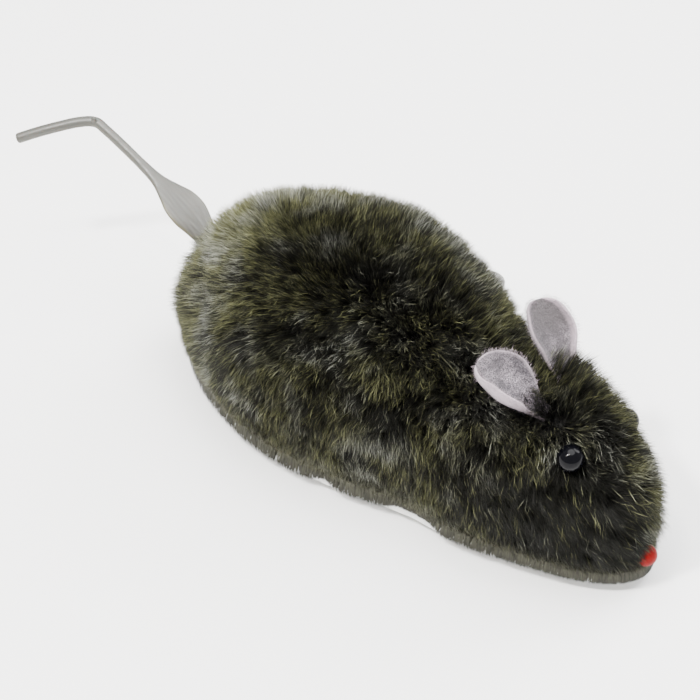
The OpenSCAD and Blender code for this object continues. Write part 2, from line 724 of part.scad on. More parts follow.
// ---- key ----
module key_lobes(wing_r, r) {
    for (s = [-1, 1]) translate([s * (key_span / 2 - wing_r), wing_r + 0.4]) circle(r = r);
}

module winding_key() color([0.78, 0.78, 0.8]) {
    wing_y = key_y + key_stem_l - 1;
    wing_r = key_span / 4;
    difference() {
        union() {
            rod(arbor_x, arbor_z, key_y, key_stem_l, key_stem_d);
            translate([arbor_x, wing_y, arbor_z - key_t / 2])
                linear_extrude(key_t) difference() {
                    union() {
                        key_lobes(wing_r, wing_r);
                        translate([-key_stem_d / 2, 0]) square([key_stem_d, wing_r * 1.6]);
                    }
                    key_lobes(wing_r, wing_r * 0.45);
                }
        }
        translate([arbor_x - square_w / 2, key_y - overcut, arbor_z - square_w / 2])
            cube([square_w, key_stem_l - 1 + overcut, square_w]);
    }
}

// ---- wheels ----
module rear_axle() color([0.75, 0.75, 0.77]) {
    rod(rear_x, rear_z, -wheel_out_y - 0.3, 2 * wheel_out_y + 0.6, axle_d);
}

rim_d = rear_wheel_d - 2 * tyre_t;
rim_t = 1.5;
wheel_web_t = 1.2;
wheel_hub_d = 6;
module wheel(y) color([0.9, 0.9, 0.88]) {
    difference() {
        union() {
            rod(rear_x, rear_z, y, rear_wheel_w, wheel_hub_d);
            difference() {
                rod(rear_x, rear_z, y, rear_wheel_w, rim_d);
                rod(rear_x, rear_z, y - overcut, rear_wheel_w + 2 * overcut, rim_d - 2 * rim_t);
            }
            rod(rear_x, rear_z, y + (rear_wheel_w - wheel_web_t) / 2, wheel_web_t, rim_d - rim_t);
        }
        rod(rear_x, rear_z, y - overcut, rear_wheel_w + 2 * overcut, axle_d);
    }
}

module tyre(y) color([0.12, 0.12, 0.12]) {
    difference() {
        rod(rear_x, rear_z, y, rear_wheel_w, rear_wheel_d);
        rod(rear_x, rear_z, y - overcut, rear_wheel_w + 2 * overcut, rim_d);
    }
}

module wheel_left() wheel(wheel_y);
module wheel_right() wheel(-wheel_out_y);
module tyre_left() tyre(wheel_y);
module tyre_right() tyre(-wheel_out_y);

module front_axle() color([0.75, 0.75, 0.77]) {
    rod(front_x, front_z, -lug_in - lug_t, 2 * (lug_in + lug_t), axle_d);
}

module front_wheel() color([0.9, 0.9, 0.88]) {
    difference() {
        rod(front_x, front_z, -front_wheel_w / 2, front_wheel_w, front_wheel_d);
        rod(front_x, front_z, -front_wheel_w, 2 * front_wheel_w, axle_d + 2 * run_gap);
    }
}

module ear_left() ear(1);
module ear_right() ear(-1);
module eye_left() eye(1);
module eye_right() eye(-1);

fur_coat();
body_shell();
base_pan();
ear_left();
ear_right();
eye_left();
eye_right();
nose();
tail();
motor_plate_left();
motor_plate_right();
motor_pillars();
motor_screws();
motor_nuts();
mainspring();
winding_arbor();
ratchet_wheel();
winding_key();
great_gear();
click();
click_rivet();
click_spring();
intermediate_arbor();
intermediate_pinion();
intermediate_wheel();
rear_axle();
axle_pinion();
wheel_left();
wheel_right();
tyre_left();
tyre_right();
front_axle();
front_wheel();
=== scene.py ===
"""Looks of a clockwork plush mouse: a long-pile coat over a moulded shell, felt ears, bead eyes and
nose, a vinyl tail, and the plastics and metals of its pan, wheels, motor and key.

Shapes are worked out in millimetres in the row frame: +X from rump to nose, +Y to the mouse's
left, +Z up, with the origin on the underside of the pan. They become metres in the meshes.
"""
import json
import math

import bmesh
import bpy
import numpy as np
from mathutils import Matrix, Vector


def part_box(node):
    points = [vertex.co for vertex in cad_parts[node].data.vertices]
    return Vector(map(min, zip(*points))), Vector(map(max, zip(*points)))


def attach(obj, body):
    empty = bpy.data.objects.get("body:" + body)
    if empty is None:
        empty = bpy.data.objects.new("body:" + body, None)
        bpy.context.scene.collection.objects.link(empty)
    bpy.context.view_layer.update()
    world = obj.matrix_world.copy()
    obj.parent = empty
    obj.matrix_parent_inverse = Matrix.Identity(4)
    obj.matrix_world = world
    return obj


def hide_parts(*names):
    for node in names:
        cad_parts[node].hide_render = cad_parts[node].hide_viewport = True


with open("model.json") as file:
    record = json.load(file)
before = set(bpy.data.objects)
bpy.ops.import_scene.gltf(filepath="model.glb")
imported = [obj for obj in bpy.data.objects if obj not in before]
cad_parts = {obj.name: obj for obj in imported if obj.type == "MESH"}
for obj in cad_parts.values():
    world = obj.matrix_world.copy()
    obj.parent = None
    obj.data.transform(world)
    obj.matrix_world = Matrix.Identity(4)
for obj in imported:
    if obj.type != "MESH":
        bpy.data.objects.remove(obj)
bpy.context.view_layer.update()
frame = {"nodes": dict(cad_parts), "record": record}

MM = 0.001
random = np.random.default_rng(7)


def box_mm(node):
    """Lowest and highest corners of a CAD node, in millimetres."""
    low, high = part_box(node)
    return np.array(low) / MM, np.array(high) / MM


def unit(v):
    """Vectors of length one, along the last axis."""
    v = np.asarray(v, float)
    return v / np.maximum(np.linalg.norm(v, axis=-1, keepdims=True), 1e-12)


def smoothstep(low, high, x):
    """Goes from 0 at low to 1 at high, level at both ends."""
    t = np.clip((np.asarray(x, float) - low) / (high - low), 0, 1)
    return t * t * (3 - 2 * t)


def through(stations, u):
    """Cubic Hermite curve through rows of position and values, level at both ends."""
    table = np.array(stations, float)
    at, values = table[:, 0], table[:, 1:]
    slopes = np.zeros_like(values)
    slopes[1:-1] = (values[2:] - values[:-2]) / (at[2:] - at[:-2])[:, None]
    i = np.clip(np.searchsorted(at, u, side="right") - 1, 0, len(at) - 2)
    w = (at[i + 1] - at[i])[..., None]
    t = (np.asarray(u)[..., None] - at[i][..., None]) / w
    out = (values[i] * (2 * t**3 - 3 * t**2 + 1) + slopes[i] * w * (t**3 - 2 * t**2 + t)
           + values[i + 1] * (3 * t**2 - 2 * t**3) + slopes[i + 1] * w * (t**3 - t**2))
    return out[..., 0] if values.shape[1] == 1 else out


# ---------------------------------------------------------------- the body's surface

COAT_LOW, COAT_HIGH = box_mm("fur_coat")
HALF_LENGTH = (COAT_HIGH[0] - COAT_LOW[0]) / 2
HALF_WIDTH = 26.4
CLEARANCE = 2.0
PAN_FLOOR = COAT_LOW[2]
FLOOR_Z = -CLEARANCE
BACK = 51.0
GIRTH = [[0, 1.1], [0.15, 1.1], [0.32, 1.065], [0.48, 0.92], [0.6, 0.8], [0.72, 0.83],
         [0.84, 0.8], [1, 0.81]]
RIDGE = [[0, 0.93], [0.15, 0.985], [0.35, 1], [0.5, 0.92], [0.62, 0.78], [0.74, 0.77],
         [0.86, 0.775], [1, 0.585]]
RUMP_ROUND, NOSE_ROUND = 32.0, 6.5
HAUNCH_Z, NOSE_Z = 17.4, 10.4
HEM_ANGLE, CLIP_ANGLE = 120.0, 75.0
PILE, HEM_PILE = 8.0, 1.4
BACKING, BACKING_DEPTH, ROOT_DEPTH = 0.8, 0.72, 0.74
CLUMPS, STRANDS_EACH, FRINGE_STRANDS = 10200, 26, 9000


def skin(a, phi, depth):
    """Point of the body at the angle a round its outline, 0 at the rump and 180 at the nose, and
    phi down from the back, taken in by depth. The outline in plan is an ellipse whose half width
    follows GIRTH, the ridge follows RIDGE, and the section is a power of a sine and a cosine."""
    a, phi = np.radians(a), np.radians(phi)
    u = (1 - np.cos(a)) / 2
    half = HALF_WIDTH * through(GIRTH, u) - depth
    top = FLOOR_Z + BACK * through(RIDGE, u) - depth
    full = 0.8 + 0.08 * np.clip((u - 0.5) / 0.3, 0, 1)
    lean = 1.8 + (full - 1.8) * np.clip(u / 0.3, 0, 1)
    reach = np.sin(phi)**full
    ridge_x = -HALF_LENGTH + RUMP_ROUND + (2 * HALF_LENGTH - RUMP_ROUND - NOSE_ROUND) * u
    edge_x = -(HALF_LENGTH - depth) * np.cos(a)
    belly = FLOOR_Z + HAUNCH_Z + (NOSE_Z - HAUNCH_Z) * np.clip((u - 0.45) / 0.55, 0, 1)**1.5
    above = (top - belly) * np.maximum(np.cos(phi), 0)**lean
    below = 2 * (belly - PAN_FLOOR) * np.cos(phi)
    rise = np.where(phi < np.pi / 2, above, below)
    x = ridge_x + (edge_x - ridge_x) * reach
    return np.stack([x, -half * np.sin(a) * reach, belly + rise], -1)


def coat_depth(phi):
    """Thickness of the pile: clipped at the hem, full above the body's widest line."""
    return HEM_PILE + (PILE - HEM_PILE) * smoothstep(HEM_ANGLE, CLIP_ANGLE, phi)


def skin_axes(a, phi, depth):
    """Point, unit ways round and down the body, their lengths per degree, and the outward way."""
    step = 0.4
    p = skin(a, phi, depth)
    round_way = (skin(a + step, phi, depth) - p) / step
    down_way = (skin(a, phi + step, depth) - p) / step
    lengths = np.linalg.norm(round_way, axis=-1), np.linalg.norm(down_way, axis=-1)
    return p, unit(round_way), unit(down_way), lengths, unit(np.cross(down_way, round_way))


def ripple(points, size, seed, waves=10):
    """Smooth noise from -1 to 1: a sum of sine waves of about one size in random directions."""
    source = np.random.default_rng(seed)
    total = np.zeros(points.shape[:-1])
    for _ in range(waves):
        way = unit(source.normal(size=3)) * (2 * np.pi / size) * source.uniform(0.6, 1.5)
        total += np.sin(points @ way + source.uniform(0, 2 * np.pi))
    return np.clip(total / math.sqrt(waves / 2) / 1.6, -1, 1)


# ---------------------------------------------------------------- meshes

def grid_faces(rows, cols, closed=False):
    """Four-sided faces of a grid of rows by cols points, closed on itself along its columns."""
    across = cols if closed else cols - 1
    i, j = np.meshgrid(np.arange(rows - 1), np.arange(across), indexing="ij")
    i, j, k = i.ravel(), j.ravel(), (j.ravel() + 1) % cols
    return np.stack([i * cols + j, i * cols + k, (i + 1) * cols + k, (i + 1) * cols + j], 1)


def fan_faces(ring, centre):
    """Triangles from each side of a ring of points to one centre point."""
    return np.stack([ring, np.roll(ring, -1), np.full(len(ring), centre)], 1)


def piece(name, points, faces, body, material, attributes=None):
    """A mesh from points in millimetres and a list of face arrays, riding on a CAD body."""
    points = np.asarray(points, float).reshape(-1, 3) * MM
    mesh = bpy.data.meshes.new(name)
    sizes = np.concatenate([np.full(len(f), f.shape[1]) for f in faces])
    corners = np.concatenate([f.ravel() for f in faces])
    mesh.vertices.add(len(points))
    mesh.vertices.foreach_set("co", points.astype(np.float32).ravel())
    mesh.loops.add(len(corners))
    mesh.loops.foreach_set("vertex_index", corners.astype(np.int32))
    mesh.polygons.add(len(sizes))
    mesh.polygons.foreach_set("loop_start", (np.cumsum(sizes) - sizes).astype(np.int32))
    mesh.polygons.foreach_set("use_smooth", np.ones(len(sizes), bool))
    mesh.update(calc_edges=True)
    for key, values in (attributes or {}).items():
        layer = mesh.attributes.new(key, "FLOAT_COLOR", "POINT")
        layer.data.foreach_set("color", np.asarray(values, np.float32).ravel())
    mesh.validate()
    mesh.materials.append(material)
    shape = bpy.data.objects.new(name, mesh)
    bpy.context.scene.collection.objects.link(shape)
    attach(shape, body)
    return shape


def face_area(points, faces):
    """Area of four-sided faces, in square millimetres."""
    p = points[faces]
    first = np.cross(p[:, 1] - p[:, 0], p[:, 2] - p[:, 0])
    second = np.cross(p[:, 2] - p[:, 0], p[:, 3] - p[:, 0])
    return (np.linalg.norm(first, axis=1) + np.linalg.norm(second, axis=1)).sum() / 2


def lathe(profile, centre, way, sides=64):
    """A profile of distance along the way and radius, turned round it. Both ends meet the axis."""
    way = unit(way)
    side = unit(np.cross(way, [0.3, 0.9, 0.2]))
    up = np.cross(way, side)
    g = np.linspace(0, 2 * np.pi, sides, endpoint=False)
    along, radius = np.array(profile, float).T
    ring = side * np.cos(g)[:, None] + up * np.sin(g)[:, None]
    rings = centre + along[1:-1, None, None] * way + radius[1:-1, None, None] * ring
    ends = np.array([centre + along[0] * way, centre + along[-1] * way])
    points = np.concatenate([rings.reshape(-1, 3), ends])
    count = (len(profile) - 2) * sides
    start = fan_faces(np.arange(sides)[::-1], count)
    end = fan_faces(np.arange(count - sides, count), count + 1)
    return points, [grid_faces(len(profile) - 2, sides, True), start, end]


# ---------------------------------------------------------------- finishes

class Finish:
    """A material with one shader, and short calls that lay patterns over its colour, gloss or
    relief."""

    def __init__(self, name, color, roughness, metallic=0.0, **sockets):
        self.material = bpy.data.materials.new(name)
        self.material.use_nodes = True
        self.nodes = self.material.node_tree.nodes
        self.links = self.material.node_tree.links
        self.shader = self.nodes["Principled BSDF"]
        self.shader.inputs["Base Color"].default_value = (*color, 1)
        self.shader.inputs["Roughness"].default_value = roughness
        self.shader.inputs["Metallic"].default_value = metallic
        for key, value in sockets.items():
            self.shader.inputs[key.replace("_", " ")].default_value = value
        self.height = None

    def add(self, kind, **values):
        """A node with some of its inputs set by name."""
        node = self.nodes.new(kind)
        for key, value in values.items():
            node.inputs[key].default_value = value
        return node

    def place(self, stretch=(1, 1, 1)):
        """Object coordinates, squeezed along each axis."""
        source = self.nodes.new("ShaderNodeTexCoord")
        mapping = self.add("ShaderNodeMapping", Scale=stretch)
        self.links.new(source.outputs["Object"], mapping.inputs["Vector"])
        return mapping.outputs["Vector"]

    def noise(self, size, detail=4.0, stretch=(1, 1, 1)):
        """Cloudy pattern whose lumps are about size millimetres across."""
        node = self.add("ShaderNodeTexNoise", Scale=1 / (size * MM), Detail=detail)
        self.links.new(self.place(stretch), node.inputs["Vector"])
        return node.outputs["Fac"]

    def cells(self, size):
        """Distance to the nearest of scattered points about size millimetres apart."""
        node = self.add("ShaderNodeTexVoronoi", Scale=1 / (size * MM))
        self.links.new(self.place(), node.inputs["Vector"])
        return node.outputs["Distance"]

    def range(self, source, low, high, to_low=0.0, to_high=1.0):
        """Maps a pattern from one range to another."""
        node = self.nodes.new("ShaderNodeMapRange")
        self.links.new(source, node.inputs["Value"])
        node.inputs["From Min"].default_value = low
        node.inputs["From Max"].default_value = high
        node.inputs["To Min"].default_value = to_low
        node.inputs["To Max"].default_value = to_high
        return node.outputs["Result"]

    def blend(self, factor, first, second):
        """Mixes two colours, each a triple or another node's colour."""
        node = self.nodes.new("ShaderNodeMix")
        node.data_type = "RGBA"
        self.links.new(factor, node.inputs["Factor"])
        for socket, value in ((node.inputs[6], first), (node.inputs[7], second)):
            if isinstance(value, tuple):
                socket.default_value = (*value, 1)
            else:
                self.links.new(value, socket)
        return node.outputs[2]

    def channels(self, name):
        """The three parts of a point attribute."""
        node = self.nodes.new("ShaderNodeAttribute")
        node.attribute_name = name
        split = self.nodes.new("ShaderNodeSeparateColor")
        self.links.new(node.outputs["Color"], split.inputs["Color"])
        return split.outputs

    def color(self, source):
        """Joins a colour to the shader."""
        self.links.new(source, self.shader.inputs["Base Color"])

    def gloss(self, source, low, high):
        """Roughness that follows a pattern, between a low and a high value."""
        self.links.new(self.range(source, 0.3, 0.7, low, high), self.shader.inputs["Roughness"])

    def relief(self, source, depth):
        """Bump of a depth in millimetres, laid over any bump already there."""
        bump = self.add("ShaderNodeBump", Distance=depth * MM)
        self.links.new(source, bump.inputs["Height"])
        if self.height:
            self.links.new(self.height, bump.inputs["Normal"])
        self.height = bump.outputs["Normal"]
        self.links.new(self.height, self.shader.inputs["Normal"])


PALE_TIP = (0.50, 0.51, 0.44)
OLIVE_TIP = (0.27, 0.275, 0.13)
DARK_TIP = (0.008, 0.008, 0.006)
ROOT = (0.003, 0.003, 0.0025)


def pile_finish():
    """Long pile: near-black roots, tips from dark olive to pale silver, a beige clipped hem."""
    f = Finish("pile", ROOT, 0.6, Specular_IOR_Level=0.22)
    along, pale, hem = f.channels("strand")[:3]
    frost = f.blend(f.range(f.noise(9), 0.47, 0.66), OLIVE_TIP, PALE_TIP)
    tip = f.blend(pale, DARK_TIP, frost)
    strand = f.blend(along, ROOT, tip)
    clipped = f.blend(f.noise(3), (0.045, 0.045, 0.032), (0.15, 0.145, 0.10))
    f.color(f.blend(hem, strand, clipped))
    return f.material


def backing_finish():
    """Knitted backing that the pile grows from, dark between the strands."""
    f = Finish("coat backing", ROOT, 0.9)
    f.color(f.blend(f.noise(1.2), (0.004, 0.004, 0.0035), (0.014, 0.014, 0.011)))
    f.relief(f.noise(0.4), 0.2)
    return f.material


def felt_finish():
    """Pressed grey-mauve felt, mottled, with dark specks and a paler pink rim, and painted shade
    from the felt attribute's second channel that darkens the top of each ear's cup and the whole
    far ear.
    """
    f = Finish("ear felt", (0.4, 0.36, 0.4), 0.95, Sheen_Weight=0.06, Sheen_Roughness=0.6)
    rim, painted_shade = f.channels("felt")[:2]
    cloud = f.blend(f.range(f.noise(2.6), 0.35, 0.68), (0.10, 0.087, 0.10), (0.36, 0.31, 0.35))
    lines = f.range(f.noise(0.28, 2, (1, 1, 2.2)), 0.38, 0.62)
    fibre = f.blend(lines, (0.025, 0.022, 0.027), cloud)
    specks = f.blend(f.range(f.cells(0.75), 0, 0.3), (0.05, 0.045, 0.06), fibre)
    mixed = f.blend(f.range(f.noise(1.4), 0.52, 0.58), fibre, specks)
    # painted shade: the attribute's second channel pulls the felt towards a near-black mauve
    dark = f.blend(painted_shade, mixed, (0.06, 0.052, 0.055))
    f.color(f.blend(rim, dark, (0.36, 0.295, 0.33)))
    f.relief(f.noise(0.3, 3), 0.3)
    f.relief(f.noise(1.3), 0.5)
    return f.material


def vinyl_finish():
    """Soft pale grey vinyl with fine streaks along the tail and yellowed edges."""
    f = Finish("tail vinyl", (0.5, 0.49, 0.44), 0.42, Specular_IOR_Level=0.45,
               Subsurface_Weight=0.12, Subsurface_Scale=0.6 * MM)
    edge, streak = f.channels("vinyl")[:2]
    body = f.blend(streak, (0.045, 0.044, 0.037), (0.088, 0.086, 0.077))
    cloudy = f.blend(f.range(f.noise(5), 0.4, 0.7), body, (0.072, 0.069, 0.059))
    f.color(f.blend(edge, cloudy, (0.085, 0.074, 0.035)))
    f.gloss(f.noise(1.5), 0.34, 0.5)
    f.relief(f.noise(0.6), 0.03)
    return f.material


def bead_finish(name, color, roughness):
    """Polished bead with faint moulding waves."""
    f = Finish(name, color, roughness, Specular_IOR_Level=0.1)
    f.color(f.blend(f.range(f.noise(1.5), 0.35, 0.65), tuple(0.7 * c for c in color), color))
    f.relief(f.noise(1.2), 0.02)
    return f.material


def plastic_finish(name, color, roughness, depth=0.03):
    """Moulded plastic: faint clouding, fine orange-peel relief, uneven gloss."""
    f = Finish(name, color, roughness)
    f.color(f.blend(f.range(f.noise(9), 0.35, 0.65), tuple(0.88 * c for c in color), color))
    f.gloss(f.noise(2.2), roughness - 0.08, roughness + 0.12)
    f.relief(f.noise(0.35), depth)
    return f.material


def metal_finish(name, color, roughness, stretch, dark=0.55):
    """Drawn or stamped metal: fine lines one way, dull patches and darker stains."""
    f = Finish(name, color, roughness, 1.0)
    stain = f.range(f.noise(4), 0.35, 0.6)
    f.color(f.blend(stain, tuple(dark * c for c in color), color))
    f.gloss(f.noise(0.5, 3, stretch), roughness - 0.1, roughness + 0.18)
    f.relief(f.noise(0.22, 2, stretch), 0.02)
    return f.material


def rubber_finish():
    """Matt black rubber with dust in its pores."""
    f = Finish("tyre rubber", (0.02, 0.02, 0.02), 0.8)
    f.color(f.blend(f.range(f.noise(1.6), 0.5, 0.75), (0.016, 0.016, 0.016), (0.07, 0.068, 0.062)))
    f.relief(f.noise(0.25), 0.05)
    return f.material


def dress_frame():
    """Gives each CAD node that stays its finish."""
    steel = metal_finish("turned steel", (0.56, 0.56, 0.57), 0.3, (1, 8, 1))
    brass = metal_finish("gear brass", (0.72, 0.50, 0.19), 0.3, (1, 6, 1))
    tin = metal_finish("tin plate", (0.60, 0.60, 0.60), 0.34, (0.4, 1, 3))
    blued = metal_finish("blued steel", (0.10, 0.13, 0.20), 0.3, (3, 1, 3))
    nickel = metal_finish("plated key", (0.74, 0.73, 0.70), 0.2, (1, 1, 2), 0.8)
    shell = plastic_finish("shell plastic", (0.62, 0.62, 0.60), 0.55)
    pan = plastic_finish("pan plastic", (0.80, 0.80, 0.77), 0.36)
    wheel = plastic_finish("wheel plastic", (0.74, 0.74, 0.70), 0.36)
    by_slot = {"turned_steel": steel, "gear_brass": brass, "tin_plate": tin, "blued_steel": blued,
               "plated_key": nickel, "shell_plastic": shell, "pan_plastic": pan,
               "wheel_plastic": wheel, "tyre_rubber": rubber_finish()}
    for part in frame["record"]["subparts"]:
        if part["material_slot"] in by_slot:
            node = frame["nodes"][part["node"]]
            for material_slot in node.material_slots:
                material_slot.material = by_slot[part["material_slot"]]


# ---------------------------------------------------------------- face places

EYE_A, EYE_PHI, EYE_SET = 140.75, {1: 52.0, -1: 40.5}, {1: 1.6, -1: 0.5}
EAR_A, EAR_PHI, EAR_SET = {1: 123.25, -1: 127.5}, {1: 16.0, -1: 18.5}, 4.0
EAR_WAY = np.array([-0.757, 0.38, 0.535])
EAR_FACE = np.array([0.6, 0, 0.8])
EAR_LENGTH, EAR_WIDTH, FELT = 17.5, 13.0, 1.0
EYE_RADIUS, NOSE_RADIUS, PIN_RADIUS = 2.7, 2.3, 0.7
EYE_PIN, NOSE_PIN = PILE + 1.6 + 1, 6.0
NOSE_CENTRE = np.array([HALF_LENGTH - 1.2, 0, 5.4])
ARBOR = (box_mm("winding_arbor")[0] + box_mm("winding_arbor")[1]) / 2
TAIL_PIVOT = np.array([-HALF_LENGTH + 15, 0, 13.6])
TAIL_LIFT, TAIL_SWING = 42, 16
STEM_CLEAR = 3.7


def eye_place(side):
    """Centre and outward way of an eye: side 1 is the mouse's left."""
    p, _, _, _, out = skin_axes(-side * EYE_A, EYE_PHI[side], EYE_SET[side])
    return p, out


def ear_axes(side):
    """Foot of an ear, and its ways across, out of its face and along."""
    foot = skin(-side * EAR_A[side], EAR_PHI[side], EAR_SET)
    along = unit(EAR_WAY * [1, side, 1])
    face = unit(EAR_FACE - along * (EAR_FACE @ along))
    return foot, np.cross(face, along), face, along


# ---------------------------------------------------------------- coat

def coat_backing():
    """The backing is the body's surface taken in by most of the pile's depth, with an inner face
    its own thickness further in and a flat hem that joins the two. A strip of faces and a triangle
    at each end close both faces along the ridge."""
    rows, cols = 60, 180
    phi = np.linspace(1.5, HEM_ANGLE, rows)[:, None] * np.ones(cols)
    a = np.linspace(0, 360, cols, endpoint=False) * np.ones((rows, 1))
    depth = BACKING_DEPTH * coat_depth(phi)
    outer = skin(a, phi, depth).reshape(-1, 3)
    inner = skin(a, phi, depth + BACKING).reshape(-1, 3)
    count = rows * cols
    face = grid_faces(rows, cols, True)
    hem = np.arange(count - cols, count)
    hem_face = np.stack([hem, np.roll(hem, -1), np.roll(hem, -1) + count, hem + count], 1)
    half_way = cols // 2
    ridge = np.arange(1, half_way - 1)
    lid = np.stack([ridge, ridge + 1, cols - ridge - 1, cols - ridge], 1)
    ends = np.array([[0, 1, cols - 1], [half_way - 1, half_way, half_way + 1]])
    faces = [face[:, ::-1], face + count, hem_face[:, ::-1], lid, lid[:, ::-1] + count,
             ends, ends[:, ::-1] + count]
    points = np.concatenate([outer, inner])
    return points, faces, face_area(outer, face)


def scatter(count):
    """Evenly spread places on the coat, as angles, by the area of the surface's cells. The cells
    grow finer towards the ridge."""
    rows, cols = 110, 300
    edges = 0.1 + (HEM_ANGLE - 0.6) * np.linspace(0, 1, rows + 1)**1.5
    phi, height = (edges[1:] + edges[:-1]) / 2, np.diff(edges)
    a = np.linspace(0, 360, cols, endpoint=False)
    grid_a, grid_phi = np.meshgrid(a, phi)
    _, _, _, (round_length, down_length), _ = skin_axes(grid_a, grid_phi, 0)
    area = (round_length * down_length * height[:, None]).ravel()
    steps = (np.arange(count) + random.uniform(0, 1, count)) / count
    cell = np.searchsorted(np.cumsum(area) / area.sum(), steps).clip(0, area.size - 1)
    jitter = random.uniform(-0.5, 0.5, (2, count))
    at_a = grid_a.ravel()[cell] + jitter[0] * 360 / cols
    return at_a, grid_phi.ravel()[cell] + jitter[1] * height[cell // cols]


def nap(p, out):
    """Way that the pile lies: along the body to the nose and down its sides, back towards the tail
    over the rump, and turned here and there by smooth noise."""
    forward = smoothstep(-50, -22, p[:, 0]) * 2 - 1
    way = np.stack([0.95 * forward, np.zeros(len(p)), -0.75 * np.ones(len(p))], -1)
    way[:, 1] += 0.35 * np.sign(p[:, 1]) * smoothstep(0, 8, abs(p[:, 1]))
    way -= out * (way * out).sum(-1, keepdims=True)
    way = unit(way)
    side = np.cross(out, way)
    turn = 0.5 * ripple(p, 18, 11) + 0.55 * ripple(p, 5, 12)
    return way * np.cos(turn)[:, None] + side * np.sin(turn)[:, None]


def pale_share_with_painted_light(p):
    """Share of frosted strands: many on the rump, the far side, the low flank and the tip of the
    nose, few along the middle of the back, the neck and the cheeks. The frosted strands are the
    coat's own colour. Their rise over the rump and along the far side is painted highlight, the
    sheen of pale tips seen at the outline. Their cut on the near cheek and muzzle is painted shade."""
    x, y, z = p.T
    # Painted highlight: the rise towards the rump end and along the far side stands for pale tips
    # lit at the outline.
    share = 0.18 + 0.17 * smoothstep(-38, -58, x) + 0.10 * smoothstep(2, 20, y)
    share += 0.17 * smoothstep(15, 4, z) * smoothstep(32, 8, x)
    share += 0.26 * smoothstep(52, 60, x) * smoothstep(-4, 2, y)
    # Painted highlight: a patch of extra pale strands over the top of the rump.
    share += 0.62 * np.exp(-(((x + 41) / 13)**2 + ((y + 3) / 12)**2 + ((z - 42) / 14)**2))
    share -= 0.07 * np.exp(-(((x - 6) / 26)**2 + ((y + 6) / 10)**2))
    # Painted shade: far fewer pale strands on the near cheek and muzzle, low on the head.
    share -= 0.60 * smoothstep(28, 42, x) * smoothstep(1, -4, y) * smoothstep(34, 22, z)
    return share + 0.12 * ripple(p, 13, 23) + 0.10 * ripple(p, 4, 24)


STRAND_STEPS = np.array([0.0, 0.38, 0.72, 1.0])
STRAND_TAPER = np.array([1.0, 0.85, 0.5])
STRAND_POINTS = 7
STRAND_FACES = np.array([[0, 1, 3], [0, 3, 2], [2, 3, 5], [2, 5, 4], [4, 5, 6]])


def strand_faces(count):
    """Triangles of a number of strands, whose points follow one another."""
    first = STRAND_POINTS * np.arange(count)[:, None, None]
    return (STRAND_FACES[None] + first).reshape(-1, 3)


def ribbons(lines, widths, facing):
    """Flat tapering ribbons. Each line has four points: three give a left and a right edge, and
    the last is the tip. Facing is roughly the way that the flat sides look. The result has a row
    of seven points for each ribbon."""
    ways = unit(np.gradient(lines, axis=1))
    sides = unit(np.cross(ways, facing[:, None, :]))
    half = widths[:, None, None] * STRAND_TAPER[None, :, None] / 2
    left = lines[:, :3] - sides[:, :3] * half
    right = lines[:, :3] + sides[:, :3] * half
    pairs = np.stack([left, right], 2).reshape(len(lines), 6, 3)
    return np.concatenate([pairs, lines[:, 3:]], 1)


def near_axis(lines, start, way, radius, reach):
    """Which strands come within a radius of the stretch of line from start along way."""
    offset = lines - start
    along = np.clip(offset @ way, reach[0], reach[1])
    gap = np.linalg.norm(offset - along[..., None] * way, axis=-1)
    return (gap < radius).any(1)


def clear_of_parts(lines):
    """Strands that stay clear of the key's stem, the tail's swing, the ears, eyes and nose."""
    stem = ARBOR * [1, 0, 1]
    keep = ~near_axis(lines, stem, np.array([0, 1.0, 0]), STEM_CLEAR, (5, 60))
    swing = lines - TAIL_PIVOT
    distance = np.hypot(swing[..., 0], swing[..., 2])
    lift = np.degrees(np.arctan2(swing[..., 2], -swing[..., 0]))
    in_swing = (abs(swing[..., 1]) < 3.1 + 1.8 * smoothstep(13, 19, distance)) & (distance > 3)
    in_swing &= abs(lift - TAIL_LIFT) < TAIL_SWING
    keep &= ~in_swing.any(1)
    for side in (-1, 1):
        centre, out = eye_place(side)
        keep &= ~near_axis(lines, centre, out, EYE_RADIUS + 0.05, (-1.0, 0.2))
        keep &= ~near_axis(lines, centre, out, EYE_RADIUS - 0.7, (0.0, 6.0))
        foot, across, face, along = ear_axes(side)
        local = lines - foot
        x, y, z = local @ across, local @ face, local @ along
        width = EAR_WIDTH / 2 * (0.6 + 0.4 * smoothstep(0, 0.45, z / EAR_LENGTH))
        over = (abs(x) < width + 0.3) & (y > -1.0) & (y < 3.0) & (z > 8.6) & (z < EAR_LENGTH + 1)
        keep &= ~over.any(1)
    keep &= ~near_axis(lines, NOSE_CENTRE, unit([1, -0.1, -0.15]), NOSE_RADIUS - 0.5, (0.6, 5.0))
    return keep


def ear_tuft(p):
    """Extra height of the pile just in front of the ears' feet, which it hides."""
    extra = np.zeros(len(p))
    for side in (-1, 1):
        foot, _, face, along = ear_axes(side)
        gap = np.linalg.norm(p - (foot + 3.5 * along + 2.5 * face), axis=1)
        extra += 3.2 * np.exp(-(gap / 3.6)**2)
    return extra


